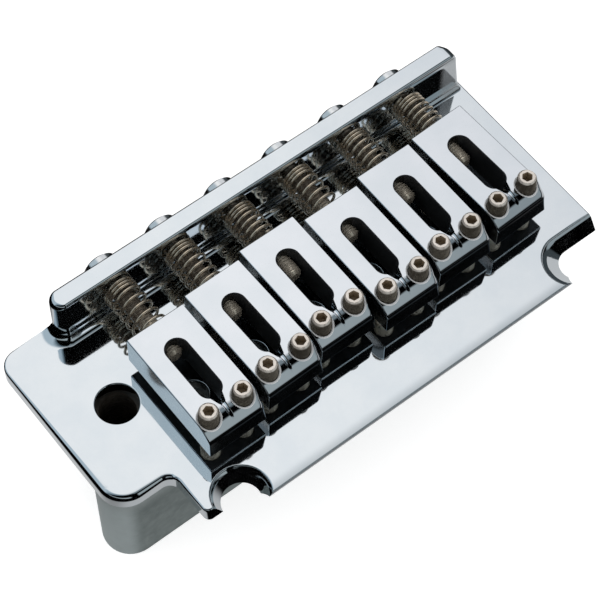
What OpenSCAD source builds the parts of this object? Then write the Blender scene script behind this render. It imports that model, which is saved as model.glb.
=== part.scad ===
// Two-point tremolo bridge for a six-string guitar.
// A chromed plate with a rear flange stands on a cast block. Six block saddles
// sit on hex-socket height screws and are drawn back by sprung intonation screws.
// X runs along the strings' spread from the arm side to the bass side, Y points to
// the flange, Z is up. The origin is on the block's foot, under the middle string gap.

/* [Strings] */
// Distance from one string to the next
string_pitch = 10.8; // [10.2:0.1:11.6]
// Radius of the string holes in the plate
string_hole_r = 2.1; // [1.6:0.1:2.4]
// Radius of the string bores low in the block, which take the ball ends
ball_bore_r = 2.6; // [2.3:0.1:3]
// Depth of those bores
ball_bore_depth = 12.6; // [8:0.2:13]
// Radius of a string's way from its bore up to the plate
string_way_r = 1.7; // [1.2:0.1:2]
// Distance from the block's front face back to the string holes
string_hole_back = 8.2; // [7:0.1:9]

/* [Base plate] */
// Thickness of the plate
plate_t = 2.6; // [2.2:0.1:3.4]
// Plate beside the outer saddle on the bass side
bass_margin = 7; // [6:0.5:10]
// Plate beside the outer saddle on the arm side
arm_margin = 14.7; // [14:0.1:18]
// How far the arm lobe and the block lie behind the front edge
lobe_setback = 11.1; // [10:0.1:13]
// How far the bass corner lies behind the front edge
bass_setback = 7.4; // [6.4:0.2:8.4]
// Corner radius of the arm lobe, front and side
lobe_r = 4.35; // [3:0.05:5]
// Corner radius of the rear corners
rear_r = 2.8; // [2:0.1:4]
// Radius of the hollow corner between lobe and pivot tip
hollow_r = 1.8; // [1:0.1:2.4]
// Height of the undercut along the front edge
undercut = 1.9; // [1:0.1:2.1]

/* [Pivots] */
// Distance from one pivot post to the other
post_spacing = 62.6; // [61:0.2:64]
// Radius of the round pivot notch at its knife edge
notch_r = 3; // [2.6:0.1:3.4]
// How much the notch widens towards the plate's upper face
notch_flare = 1.3; // [0.6:0.1:1.6]
// Distance from the front edge back to the centre of the pivot notches
notch_back = 2.5; // [2:0.1:3]
// Width of the pivot tip beside the round notch
tip_w = 1.4; // [1:0.1:2]
// Radius of the hollow in the bass side's knife edge, at its sharp rim
knife_r = 2.7; // [2.4:0.1:3.2]
// Length of the bevel on the bass side's knife edge
knife_bevel = 1.8; // [1:0.1:2.2]

/* [Flange] */
// Height of the flange above the plate
flange_h = 8.9; // [8.2:0.1:10]
// Thickness of the flange
flange_t = 3.4; // [2.4:0.1:4]
// Flange beside the outer saddle at each end
flange_margin = 5.5; // [4:0.1:5.8]
// Radius at the flange's foot
flange_foot_r = 1.3; // [0.8:0.1:2]
// Radius of the flange's upper corners
flange_corner_r = 1.6; // [1:0.1:2.4]

/* [Block] */
// Thickness of the block
block_t = 14; // [13:0.5:17]
// Height of the block below the plate
block_h = 16.8; // [15:0.2:42]
// Block beyond the outer string on the bass side
block_margin = 6; // [5:0.5:9]
// Radius of the holes for the return springs' hooks
hook_hole_r = 1.5; // [1.2:0.1:1.8]
// Depth of the holes for the return springs' hooks
hook_hole_depth = 8; // [6:0.5:10]
// Distance from the block's front face back to those holes
hook_hole_back = 3; // [2.4:0.1:5]

/* [Arm socket] */
// Distance from the arm side's edge to the arm hole
arm_hole_inset = 9.9; // [9:0.1:11]
// Distance from the lobe's front edge back to the arm hole
arm_hole_back = 13.7; // [13:0.1:15]
// Radius of the arm hole in the plate
arm_hole_r = 3.2; // [3:0.1:3.6]
// Radius of the bore in the threaded bush
bush_bore_r = 2.6; // [2.2:0.1:2.8]
// Outer radius of the threaded bush
bush_r = 3.9; // [3.7:0.1:4.2]
// Length of the threaded bush
bush_len = 12; // [9:0.5:14]
// Metal round the bush
bush_wall = 1.3; // [1:0.1:2]

/* [Saddles] */
// Gap between neighbouring saddles
saddle_gap = 1; // [0.7:0.05:1.4]
// Length of a saddle
saddle_len = 19.8; // [19:0.1:21.4]
// Thickness of a saddle
saddle_t = 5.8; // [5.2:0.1:6.6]
// Height of a saddle's underside above the plate
saddle_lift = 2.4; // [1.8:0.1:3.4]
// Radius of a saddle's nose
nose_r = 3.2; // [2.4:0.1:4]
// Distance from the front edge back to the nose of the first saddle
saddle_back = 8.7; // [8.2:0.1:9.6]
// Width of the string slot
slot_w = 3.4; // [3:0.1:3.8]
// Metal between a saddle's rear face and its slot
slot_wall = 3.6; // [3:0.1:4.4]
// Depth of the string groove in the nose
groove_depth = 0.7; // [0.4:0.1:1.2]
// Depth of the ramp where it opens into the slot
ramp_depth = 3.9; // [3:0.1:4.4]
// How far a saddle can be drawn back or let forward
saddle_travel = 2; // [1:0.1:2.2]

/* [Height screws] */
// Radius of a height screw
height_r = 1.5; // [1.3:0.05:1.6]
// Distance between the two height screws of a saddle
height_spacing = 5.9; // [5.7:0.1:6.1]
// Distance from the nose back to the height screws
height_back = 2.8; // [2.6:0.1:3.2]
// How far a height screw stands above its saddle
height_proud = 2; // [1:0.1:2.6]
// Distance across the flats of the hex socket
socket_flats = 1.5; // [1.3:0.1:1.6]
// Depth of the hex socket
socket_depth = 1.8; // [1.2:0.1:2.4]

/* [Intonation screws] */
// Radius of an intonation screw
screw_r = 1.45; // [1.2:0.05:1.6]
// Height of the intonation screws' axis above the plate
screw_h = 5.2; // [4.8:0.1:5.4]
// Length of an intonation screw below its head
screw_len = 18; // [17.4:0.1:18.6]
// Radius of the head
head_r = 2.8; // [2.4:0.1:3]
// Height of the head
head_h = 2; // [1.6:0.1:2.4]

/* [Springs] */
// Room for the shortest spring, between the saddle that is set furthest back and the flange
spring_room = 7.15; // [6.5:0.05:9]
// Radius of a spring, to the middle of its wire
coil_r = 2.5; // [2.3:0.05:2.6]
// Diameter of the spring wire
wire_d = 0.6; // [0.5:0.02:0.62]
// Distance between the close turns at the flange
close_pitch = 1.05; // [1.04:0.01:1.1]
// Number of close turns
close_turns = 2.5; // [2:0.25:2.5]
// Number of open turns
open_turns = 2.75; // [2:0.25:2.75]

/* [Hidden] */
$fn = 64;

// How far each saddle is drawn back from the first one, so that each string plays in tune
compensation = [0, 0.95, 2.1, 0.55, 1.6, 2.15];
string_count = len(compensation);
strings = [0 : string_count - 1];
// Running clearance of a screw in its thread, and of a screw through the flange
thread_play = 0.05;
flange_play = 0.2;
// Clearance under the height screws' tips and under the intonation screws' heads, so that
// a saddle can tilt about its hole in the flange
tip_play = 0.12;
head_play = 0.12;
// Clearance of a seat that is filled without play
seat_play = 0.02;
// Overshoot of a cut past the face that it opens
over = 1;

saddle_w = string_pitch - saddle_gap;
outer_string = (string_count - 1) / 2 * string_pitch;
outer_side = outer_string + saddle_w / 2;
left_x = -outer_side - arm_margin;
right_x = outer_side + bass_margin;
block_front = -block_t / 2;
block_rear = block_t / 2;
front_y = block_front - lobe_setback;
bass_front = front_y + bass_setback;
plate_z = block_h + plate_t;

notch_x = post_spacing / 2;
notch_y = front_y + notch_back;
tip_x = -notch_x - notch_r - notch_flare - tip_w;

flange_front = front_y + saddle_back + max(compensation) + saddle_len + spring_room;
rear_y = flange_front + flange_t;
flange_end = outer_side + flange_margin;
screw_z = plate_z + screw_h;

arm_x = left_x + arm_hole_inset;
arm_y = block_front + arm_hole_back;
boss_r = bush_r + bush_wall;
string_y = block_front + string_hole_back;

saddle_z = plate_z + saddle_lift;
saddle_top = saddle_z + saddle_t;
ramp_top = saddle_top - groove_depth;
ramp_low = saddle_top - ramp_depth;
hole_chamfer = 0.4;
rim_r = height_r + thread_play + hole_chamfer;

// X of a string, and Y of its saddle's nose and rear face
function string_x(i) = (i - (string_count - 1) / 2) * string_pitch;
function nose_y(i) = front_y + saddle_back + compensation[i];
function rear_face_y(i) = nose_y(i) + saddle_len;

// Block screws: countersunk, between the first and last string pairs and in the middle
block_screw_r = 1.5;
block_head_r = 2.8;
block_head_h = 1.4;
block_screw_len = 12;
block_screw_y = string_y + string_hole_r + block_screw_r;
block_screw_x = [for (gap = [0, (string_count - 2) / 2, string_count - 2]) string_x(gap) + string_pitch / 2];

// Springs: each fills the space between its saddle and the flange
leg_bend = 0.4;
leg_len = wire_d + leg_bend;
rings_per_turn = 8;
wire_sides = 6;

// Plan outline of the plate, with its lobe, pivot tip and set-back bass corner
module plate_outline() {
    difference() {
        union() {
            translate([tip_x, bass_front])
                square([right_x - tip_x, rear_y - bass_front]);
            translate([tip_x, front_y])
                square([notch_x - tip_x, bass_front - front_y]);
            translate([left_x, block_front + lobe_r])
                square([tip_x - left_x, rear_y - rear_r - block_front - lobe_r]);
            translate([left_x + lobe_r, block_front])
                square([tip_x - left_x - lobe_r, lobe_r]);
            translate([left_x + rear_r, rear_y - rear_r])
                square([tip_x - left_x - rear_r, rear_r]);
            translate([left_x + lobe_r, block_front + lobe_r])
                circle(lobe_r);
            translate([left_x + rear_r, rear_y - rear_r])
                circle(rear_r);
            translate([tip_x - hollow_r, block_front - hollow_r])
                square(hollow_r);
        }
        translate([tip_x - hollow_r, block_front - hollow_r])
            circle(hollow_r);
        // the round notch takes the front of the pivot tip with it
        translate([tip_x - over, front_y - over])
            square([-notch_x - tip_x + over, notch_back + over]);
        // rear corner on the bass side
        translate([right_x - flange_corner_r, rear_y - flange_corner_r])
            difference() {
                square(flange_corner_r + over);
                circle(flange_corner_r);
            }
        translate([arm_x, arm_y])
            circle(arm_hole_r);
        for (i = strings) {
            translate([string_x(i), string_y])
                circle(string_hole_r);
        }
    }
}

// Flange seen from the front, with rounded upper corners
module flange_shape() {
    translate([-flange_end, -plate_t])
        square([2 * flange_end, plate_t + flange_h - flange_corner_r]);
    translate([-flange_end + flange_corner_r, 0])
        square([2 * (flange_end - flange_corner_r), flange_h]);
    for (side = [-1, 1]) {
        translate([side * (flange_end - flange_corner_r), flange_h - flange_corner_r])
            circle(flange_corner_r);
    }
}

// Fillet along the flange's foot
module flange_foot() {
    translate([-flange_end, flange_front - flange_foot_r, plate_z])
        rotate([90, 0, 90])
            linear_extrude(2 * flange_end)
                difference() {
                    square(flange_foot_r);
                    translate([0, flange_foot_r])
                        circle(flange_foot_r);
                }
}

// Wedge that bevels an edge along X: its sharp side lies at y 0 on the upper face
module edge_bevel(length, reach) {
    rotate([90, 0, 90])
        linear_extrude(length)
            polygon([[0, over], [0, 0], [-reach, -plate_t], [-reach, -plate_t - over],
                [-reach - 2 * over, -plate_t - over], [-reach - 2 * over, over]]);
}

module base_plate() {
    color("gainsboro")
        difference() {
            union() {
                translate([0, 0, block_h])
                    linear_extrude(plate_t)
                        plate_outline();
                translate([0, rear_y, plate_z])
                    rotate([90, 0, 0])
                        linear_extrude(flange_t)
                            flange_shape();
                flange_foot();
            }
            // round pivot notch, flared towards the top
            translate([-notch_x, notch_y, block_h])
                notch_cone(notch_r, notch_flare);
            // knife edge on the bass side: a hollow quarter that runs into a straight bevel
            translate([notch_x, bass_front - knife_r - knife_bevel, block_h])
                notch_cone(knife_r, knife_bevel);
            translate([notch_x, bass_front, plate_z])
                edge_bevel(right_x - notch_x + over, -knife_bevel);
            // undercut along the front edge
            translate([tip_x - over, front_y, block_h])
                rotate([90, 0, 90])
                    linear_extrude(notch_x - tip_x + 2 * over)
                        polygon([[-over, -over], [undercut, -over], [undercut, 0], [0, undercut], [-over, undercut]]);
            for (i = strings) {
                translate([string_x(i), rear_y + over, screw_z])
                    rotate([90, 0, 0])
                        cylinder(r = screw_r + flange_play, h = flange_t + flange_foot_r + 2 * over);
            }
            for (x = block_screw_x) {
                translate([x, block_screw_y, plate_z])
                    screw_seat(seat_play);
            }
        }
}

// Cutter for a flared notch, whose narrow end is at the plate's underside
module notch_cone(r, flare) {
    cylinder(r1 = r, r2 = r + flare, h = plate_t);
    translate([0, 0, plate_t])
        cylinder(r = r + flare, h = over);
    translate([0, 0, -over])
        cylinder(r = r, h = over);
}

// A countersunk screw whose head is flush with z 0, larger all round by the given play
module screw_seat(play) {
    translate([0, 0, -block_head_h])
        cylinder(r1 = block_screw_r + play, r2 = block_head_r + play, h = block_head_h);
    translate([0, 0, -block_screw_len - play])
        cylinder(r = block_screw_r + play, h = block_screw_len - block_head_h / 2 + play);
}

module block_screws() {
    color("dimgray")
        for (x = block_screw_x) {
            translate([x, block_screw_y, plate_z])
                difference() {
                    screw_seat(0);
                    translate([0, 0, -block_head_h / 2])
                        cylinder(r = socket_flats / 2 / cos(30), h = over, $fn = 6);
                }
        }
}

// The block's body: a bar with round corners and a boss round the arm socket
module block_body() {
    right = outer_string + block_margin;
    nose = [left_x + lobe_r, block_front + lobe_r];
    boss = [arm_x, arm_y];
    // direction of the straight side that runs from the nose's round to the boss's
    lean = atan2(boss.y - nose.y, boss.x - nose.x) + acos((lobe_r - boss_r) / norm(boss - nose));
    along = [cos(lean), sin(lean)];
    linear_extrude(block_h) {
        translate([arm_x, block_front])
            square([right - lobe_r - arm_x, block_t]);
        translate([arm_x, block_front + lobe_r])
            square([right - arm_x, block_t - 2 * lobe_r]);
        for (y = [block_front + lobe_r, block_rear - lobe_r]) {
            translate([right - lobe_r, y])
                circle(lobe_r);
        }
    }
    linear_extrude(block_h)
        polygon([[nose.x, block_front], nose, nose + lobe_r * along, boss + boss_r * along, boss,
            [arm_x + boss_r, arm_y], [arm_x + boss_r, block_front]]);
    translate(nose)
        cylinder(r = lobe_r, h = block_h);
    translate(boss)
        cylinder(r = boss_r, h = block_h);
}

module sustain_block() {
    color("slategray")
        difference() {
            block_body();
            for (i = strings) {
                translate([string_x(i), string_y, -over]) {
                    cylinder(r = string_way_r, h = block_h + 2 * over);
                    cylinder(r = ball_bore_r, h = ball_bore_depth + over);
                }
            }
            for (i = [0 : string_count - 2]) {
                translate([string_x(i) + string_pitch / 2, block_front + hook_hole_back, -over])
                    cylinder(r = hook_hole_r, h = hook_hole_depth + over);
            }
            translate([arm_x, arm_y, block_h - bush_len])
                cylinder(r = bush_r + seat_play, h = bush_len + over);
            for (x = block_screw_x) {
                translate([x, block_screw_y, plate_z])
                    screw_seat(seat_play);
            }
        }
}

module arm_bush() {
    color("darkgoldenrod")
        translate([arm_x, arm_y, block_h - bush_len])
            difference() {
                cylinder(r = bush_r, h = bush_len);
                translate([0, 0, -over])
                    cylinder(r = bush_bore_r, h = bush_len + 2 * over);
            }
}

// Side view of a saddle: y back from the nose, z up from the underside
module saddle_side() {
    difference() {
        square([saddle_len, saddle_t]);
        translate([0, saddle_t - nose_r])
            difference() {
                translate([-over, 0])
                    square([nose_r + over, nose_r + over]);
                translate([nose_r, 0])
                    circle(nose_r);
            }
    }
}

// Cutter for the ramp that lifts the string to the nose, tapering between the screws
module string_ramp() {
    translate([-groove_w() / 2, 0, 0])
        rotate([90, 0, 90])
            linear_extrude(groove_w())
                polygon([[-over, ramp_top - saddle_z], [height_back, ramp_top - saddle_z],
                    [height_back + rim_r, ramp_low - saddle_z], [saddle_len / 2, ramp_low - saddle_z],
                    [saddle_len / 2, saddle_t + over], [-over, saddle_t + over]]);
}
function groove_w() = height_spacing - 2 * rim_r;

module saddle(i) {
    slot_rear = saddle_len - slot_wall;
    color("gainsboro")
        translate([string_x(i), nose_y(i), saddle_z])
            difference() {
                translate([-saddle_w / 2, 0, 0])
                    rotate([90, 0, 90])
                        linear_extrude(saddle_w)
                            saddle_side();
                // string slot, right through
                translate([0, 0, -over])
                    linear_extrude(saddle_t + 2 * over) {
                        translate([0, slot_rear - slot_w / 2])
                            circle(d = slot_w);
                        translate([-slot_w / 2, height_back + rim_r + slot_w / 2])
                            square([slot_w, slot_rear - slot_w - height_back - rim_r]);
                        translate([0, height_back + rim_r + slot_w / 2])
                            circle(d = slot_w);
                    }
                string_ramp();
                for (side = [-1, 1]) {
                    translate([side * height_spacing / 2, height_back, -over])
                        cylinder(r = height_r + thread_play, h = saddle_t + 2 * over);
                    translate([side * height_spacing / 2, height_back, saddle_t - hole_chamfer])
                        cylinder(r1 = height_r + thread_play, r2 = rim_r + hole_chamfer, h = 2 * hole_chamfer);
                }
                // thread for the intonation screw
                translate([0, saddle_len + over, screw_h - saddle_lift])
                    rotate([90, 0, 0])
                        cylinder(r = screw_r + thread_play, h = slot_wall + slot_w / 2 + over);
            }
}

module height_screw(i, side) {
    tip_z = plate_z + tip_play;
    top_z = saddle_top + height_proud;
    chamfer = 0.25;
    color("tan")
        translate([string_x(i) + side * height_spacing / 2, nose_y(i) + height_back, tip_z])
            difference() {
                union() {
                    cylinder(r1 = height_r - 2 * chamfer, r2 = height_r, h = 2 * chamfer);
                    translate([0, 0, 2 * chamfer])
                        cylinder(r = height_r, h = top_z - tip_z - 3 * chamfer);
                    translate([0, 0, top_z - tip_z - chamfer])
                        cylinder(r1 = height_r, r2 = height_r - chamfer, h = chamfer);
                }
                translate([0, 0, top_z - tip_z - socket_depth])
                    cylinder(r = socket_flats / 2 / cos(30), h = socket_depth + over, $fn = 6);
            }
}

module intonation_screw(i) {
    chamfer = 0.4;
    recess_len = 3.4;
    recess_w = 0.7;
    recess_depth = 1;
    color("tan")
        translate([string_x(i), rear_y + head_play, screw_z])
            rotate([90, 0, 0])
                difference() {
                    union() {
                        // shank
                        cylinder(r = screw_r, h = screw_len - chamfer);
                        translate([0, 0, screw_len - chamfer])
                            cylinder(r1 = screw_r, r2 = screw_r - chamfer, h = chamfer);
                        // pan head, a slice of a ball on a short rim
                        translate([0, 0, -head_h / 2])
                            cylinder(r = head_r, h = head_h / 2);
                        rotate_extrude()
                            intersection() {
                                translate([0, -head_h])
                                    square([head_r, head_h]);
                                translate([0, dome_r() - head_h])
                                    circle(dome_r());
                            }
                    }
                    for (turn = [0, 90]) {
                        rotate([0, 0, turn + 45])
                            translate([-recess_len / 2, -recess_w / 2, -head_h - over])
                                cube([recess_len, recess_w, recess_depth + over]);
                    }
                }
}
// Radius of the ball whose slice, half a head high, is as wide as the head
function dome_r() = (pow(head_r, 2) + pow(head_h / 2, 2)) / head_h;

// Middle line of a spring from the flange towards its saddle: straight legs square to
// both faces, close turns first and open turns after them
function spring_path(length) =
    let (
        bend_steps = 3,
        lead = leg_bend / coil_r * 180 / PI,
        close_len = close_turns * close_pitch,
        open_len = length - 2 * leg_len - close_len,
        turns = close_turns + open_turns,
        steps = floor(turns * rings_per_turn),
        leg = [for (k = [0 : bend_steps - 1])
            [lead * (1 - cos(k * 90 / bend_steps)), wire_d + leg_bend * sin(k * 90 / bend_steps)]]
    )
    concat(
        [[0, 0]], leg,
        [for (k = [0 : steps])
            let (turn = k / steps * turns)
            [lead + turn * 360, leg_len + (turn < close_turns
                ? turn * close_pitch
                : close_len + (turn - close_turns) / open_turns * open_len)]],
        [for (k = [bend_steps - 1 : -1 : 0])
            [turns * 360 + 2 * lead - leg[k][0], length - leg[k][1]]],
        [[turns * 360 + 2 * lead, length]]
    );
function on_coil(p) = [coil_r * cos(p[0]), -p[1], coil_r * sin(p[0])];
function unit(v) = v / norm(v);

module wound_tube(path) {
    points = [for (p = path) on_coil(p)];
    last = len(points) - 1;
    rings = [for (k = [0 : last])
        let (
            out = [cos(path[k][0]), 0, sin(path[k][0])],
            ahead = k == 0 || k == last ? [0, -1, 0] : unit(unit(points[k + 1] - points[k])
                + unit(points[k] - points[k - 1])),
            side = unit(cross(ahead, out))
        )
        for (s = [0 : wire_sides - 1])
            let (a = s * 360 / wire_sides)
            points[k] + wire_d / 2 * (cos(a) * out + sin(a) * side)];
    walls = [for (k = [0 : last - 1]) for (s = [0 : wire_sides - 1])
        let (
            a = k * wire_sides + s,
            b = k * wire_sides + (s + 1) % wire_sides
        )
        for (f = [[a, b, b + wire_sides], [a, b + wire_sides, a + wire_sides]]) f];
    caps = [for (s = [1 : wire_sides - 2])
        for (f = [[0, s + 1, s], [last * wire_sides, last * wire_sides + s, last * wire_sides + s + 1]]) f];
    polyhedron(points = rings, faces = concat(walls, caps), convexity = 10);
}

// Least clear distance between two turns of a spring, over points half a turn apart or more
function spring_gap(length) =
    let (
        points = [for (p = spring_path(length)) on_coil(p)],
        apart = rings_per_turn / 2
    )
    min([for (j = [apart : len(points) - 1]) for (k = [0 : j - apart]) norm(points[j] - points[k])]) - wire_d;

module spring(i) {
    length = flange_front - rear_face_y(i);
    color("rosybrown")
        translate([string_x(i), flange_front, screw_z])
            wound_tube(spring_path(length));
}
echo(least_spring_gap = min([for (i = strings) spring_gap(flange_front - rear_face_y(i))]));

base_plate();
sustain_block();
arm_bush();
block_screws();
for (i = strings) {
    saddle(i);
    intonation_screw(i);
    spring(i);
    height_screw(i, -1);
    height_screw(i, 1);
}
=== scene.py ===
# %% [markdown]
# # A guitar bridge in chrome
# This lesson dresses a tremolo bridge: a chromed plate with a rear flange on a cast block, with six
# block saddles, their height screws, intonation screws and springs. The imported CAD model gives
# every piece its place. It is loaded first, so that each mesh is made where the CAD part is.

# %% Load the frame
import math

import bpy
import bmesh
import numpy as np
from mathutils import Matrix, Vector


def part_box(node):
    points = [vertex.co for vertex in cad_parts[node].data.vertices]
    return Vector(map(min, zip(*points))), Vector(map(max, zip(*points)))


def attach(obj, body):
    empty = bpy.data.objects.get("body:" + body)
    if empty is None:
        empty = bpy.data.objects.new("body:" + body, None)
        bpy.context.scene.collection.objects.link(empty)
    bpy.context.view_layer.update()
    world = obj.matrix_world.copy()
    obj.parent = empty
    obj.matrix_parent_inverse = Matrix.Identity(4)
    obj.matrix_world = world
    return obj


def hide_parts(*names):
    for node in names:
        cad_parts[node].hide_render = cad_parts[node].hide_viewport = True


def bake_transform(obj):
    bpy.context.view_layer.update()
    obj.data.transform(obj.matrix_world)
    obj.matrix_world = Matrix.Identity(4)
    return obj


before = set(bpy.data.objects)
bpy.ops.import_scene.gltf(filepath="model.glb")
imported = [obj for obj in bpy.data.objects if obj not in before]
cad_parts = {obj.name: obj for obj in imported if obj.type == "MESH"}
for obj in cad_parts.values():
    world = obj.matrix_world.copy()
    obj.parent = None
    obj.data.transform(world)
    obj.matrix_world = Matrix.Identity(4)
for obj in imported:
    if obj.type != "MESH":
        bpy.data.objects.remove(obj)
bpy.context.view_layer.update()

# %% [markdown]
# ## Sizes
# The CAD model's own boxes give the heights, so the scene and the solids agree. Sizes are kept in
# millimetres, as on a drawing, and turn into metres only when a mesh is made. X runs along the
# strings' spread to the bass side, Y runs rearwards to the flange and Z is up.

# %% Heights and places from the CAD boxes
MM = 0.001
string_pitch = 10.8
plate_gauge, flange_gauge = 2.6, 3.4
screw_rise = 5.2  # the intonation screws' axis, above the plate


def box_mm(node):
    """The low and high corner of a CAD node's box."""
    low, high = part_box(node)
    return [c / MM for c in low], [c / MM for c in high]


plate_low, plate_high = box_mm("base_plate")
block_high = box_mm("sustain_block")[1]
plate_under = block_high[2]
plate_top = plate_under + plate_gauge
rear = plate_high[1]
front = plate_low[1]
flange_top = plate_high[2]
flange_front = rear - flange_gauge
screw_axis = plate_top + screw_rise
strings = [(i - 2.5) * string_pitch for i in range(6)]
noses = [box_mm(f"saddle_{i + 1}")[0][1] for i in range(6)]
print("plate", [round(v, 2) for v in (front, rear, plate_under, plate_top, flange_top)])
print("noses", [round(v, 2) for v in noses])

# %% [markdown]
# ## Meshes from outlines
# Milled and stamped metal is easy to describe as outlines in layers. A stack of outlines with the
# same number of points gives side walls, and two caps close it. Edges are rounded by drawing the
# last outlines in, which keeps a mirror finish free of the ripples that a bevel across a boolean
# can leave.

# %% Outline helpers
def arc(x, y, radius, start, stop, steps):
    """Points on an arc, from one angle in degrees to the other."""
    turns = [math.radians(start + (stop - start) * k / steps) for k in range(steps + 1)]
    return [(x + radius * math.cos(a), y + radius * math.sin(a)) for a in turns]


def inset(outline, distance):
    """The outline drawn in by a distance, one for all points or one for each."""
    p = np.array(outline, float)
    ahead = np.roll(p, -1, 0) - p
    length = np.linalg.norm(ahead, axis=1, keepdims=True)
    ahead = ahead / np.maximum(length, 1e-9)
    behind = np.roll(ahead, 1, 0)
    left = np.stack([-ahead[:, 1], ahead[:, 0]], 1)
    left_behind = np.stack([-behind[:, 1], behind[:, 0]], 1)
    mitre = (left + left_behind) / (1 + (left * left_behind).sum(1, keepdims=True))
    d = np.broadcast_to(np.asarray(distance, float), (len(p),))[:, None]
    return p + mitre * d


def rounded_rim(steps=4):
    """Pairs of inward and downward shares for an edge of radius 1."""
    turns = [math.radians(90 * k / steps) for k in range(1, steps + 1)]
    return [(1 - math.cos(a), 1 - math.sin(a)) for a in turns]


def level(outline, height):
    """An outline's points at one height."""
    return [(x, y, height) for x, y in outline]


print("a rim of radius 1", [(round(i, 2), round(d, 2)) for i, d in rounded_rim()])


# %% Mesh helpers
def make(name, points, faces):
    """An object from points in millimetres."""
    mesh = bpy.data.meshes.new(name)
    mesh.from_pydata([tuple(float(c) * MM for c in p) for p in points], [], faces)
    mesh.update()
    piece = bpy.data.objects.new(name, mesh)
    bpy.context.scene.collection.objects.link(piece)
    return piece


def stack(name, layers):
    """A closed mesh through layers of points that all have the same count."""
    n = len(layers[0])
    points = [p for layer in layers for p in layer]
    faces = [(k * n + i, k * n + (i + 1) % n, (k + 1) * n + (i + 1) % n, (k + 1) * n + i)
             for k in range(len(layers) - 1) for i in range(n)]
    last = (len(layers) - 1) * n
    faces += [tuple(reversed(range(n))), tuple(range(last, last + n))]
    return make(name, points, faces)


def turned(name, profile, steps, at=(0, 0, 0), along="z"):
    """A turned piece from (radius, height) pairs, closed at both ends."""
    turns = [2 * math.pi * k / steps for k in range(steps)]
    layers = [[(r * math.cos(a), r * math.sin(a), h) for a in turns] for r, h in profile]
    if along == "y":
        layers = [[(x, h, -y) for x, y, h in layer] for layer in layers]
    return stack(name, [[(x + at[0], y + at[1], z + at[2]) for x, y, z in layer] for layer in layers])


def bake(piece):
    """Turns a piece and its modifiers into a plain mesh."""
    seen = piece.evaluated_get(bpy.context.evaluated_depsgraph_get())
    mesh = bpy.data.meshes.new_from_object(seen)
    piece.modifiers.clear()
    old, piece.data = piece.data, mesh
    bpy.data.meshes.remove(old)


def carve(piece, cutters, operation="DIFFERENCE"):
    """Cuts the cutters out of a piece, or joins them to it, and deletes them."""
    for cutter in cutters:
        step = piece.modifiers.new("carve", "BOOLEAN")
        step.object, step.operation, step.solver = cutter, operation, "EXACT"
        step.material_mode = "TRANSFER" if piece.data.materials else "INDEX"
    bake(piece)
    for cutter in cutters:
        bpy.data.objects.remove(cutter)
    return piece


print("mesh helpers ready")

# %% [markdown]
# A mirror shows every fault in the normals. So each corner's normal is worked out here: the faces
# that meet there at less than an angle count by the area of the whole plane they lie in. A flat
# face then mirrors flat right up to its rounded edge.

# %% Smooth normals and bodies
def polish(piece, angle=32):
    """Welds a mesh and gives every face corner a normal that leans to the widest plane there."""
    mesh = piece.data
    tidy = bmesh.new()
    tidy.from_mesh(mesh)
    bmesh.ops.remove_doubles(tidy, verts=tidy.verts, dist=0.001 * MM)
    bmesh.ops.recalc_face_normals(tidy, faces=tidy.faces)
    tidy.to_mesh(mesh)
    tidy.free()
    mesh.shade_smooth()
    faces = len(mesh.polygons)
    sizes, areas, vertex = np.zeros(faces, int), np.zeros(faces), np.zeros(len(mesh.loops), int)
    normals, centres = np.zeros(faces * 3), np.zeros(faces * 3)
    mesh.polygons.foreach_get("loop_total", sizes)
    mesh.polygons.foreach_get("area", areas)
    mesh.polygons.foreach_get("normal", normals)
    mesh.polygons.foreach_get("center", centres)
    mesh.loops.foreach_get("vertex_index", vertex)
    normals, centres = normals.reshape(-1, 3), centres.reshape(-1, 3)
    # faces in one plane share a rounded normal and a rounded distance from the origin
    offsets = (normals * centres).sum(1) / (0.02 * MM)
    plane = np.unique(np.round(np.c_[normals * 100, offsets]), axis=0, return_inverse=True)[1].ravel()
    weighted = normals * np.bincount(plane, areas)[plane][:, None]
    # every pair of face corners that share a vertex, as one and two
    face = np.repeat(np.arange(faces), sizes)
    order = np.argsort(vertex, kind="stable")
    _, start, count = np.unique(vertex[order], return_index=True, return_counts=True)
    start, count = np.repeat(start, count), np.repeat(count, count)
    one = np.repeat(order, count)
    two = order[np.arange(len(one)) - np.repeat(np.cumsum(count) - count, count) + np.repeat(start, count)]
    near = (normals[face[one]] * normals[face[two]]).sum(1) > math.cos(math.radians(angle))
    corner = np.stack([np.bincount(one[near], weighted[face[two[near]], k], len(vertex))
                       for k in range(3)], 1)
    mesh.normals_split_custom_set(corner / np.linalg.norm(corner, axis=1, keepdims=True))
    return piece


def place(piece, body, nodes):
    """Hands a finished piece to its body, with the CAD nodes that it stands for."""
    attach(piece, body)
    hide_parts(*nodes)


print("polish and place ready")

# %% [markdown]
# ## Nodes from expressions
# A finish and a geometry tree are both sums on sockets. One small class wraps a socket, so that
# `1 - mask` or `angle * 2` adds the Math nodes by itself, and one method adds any other node.

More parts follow.
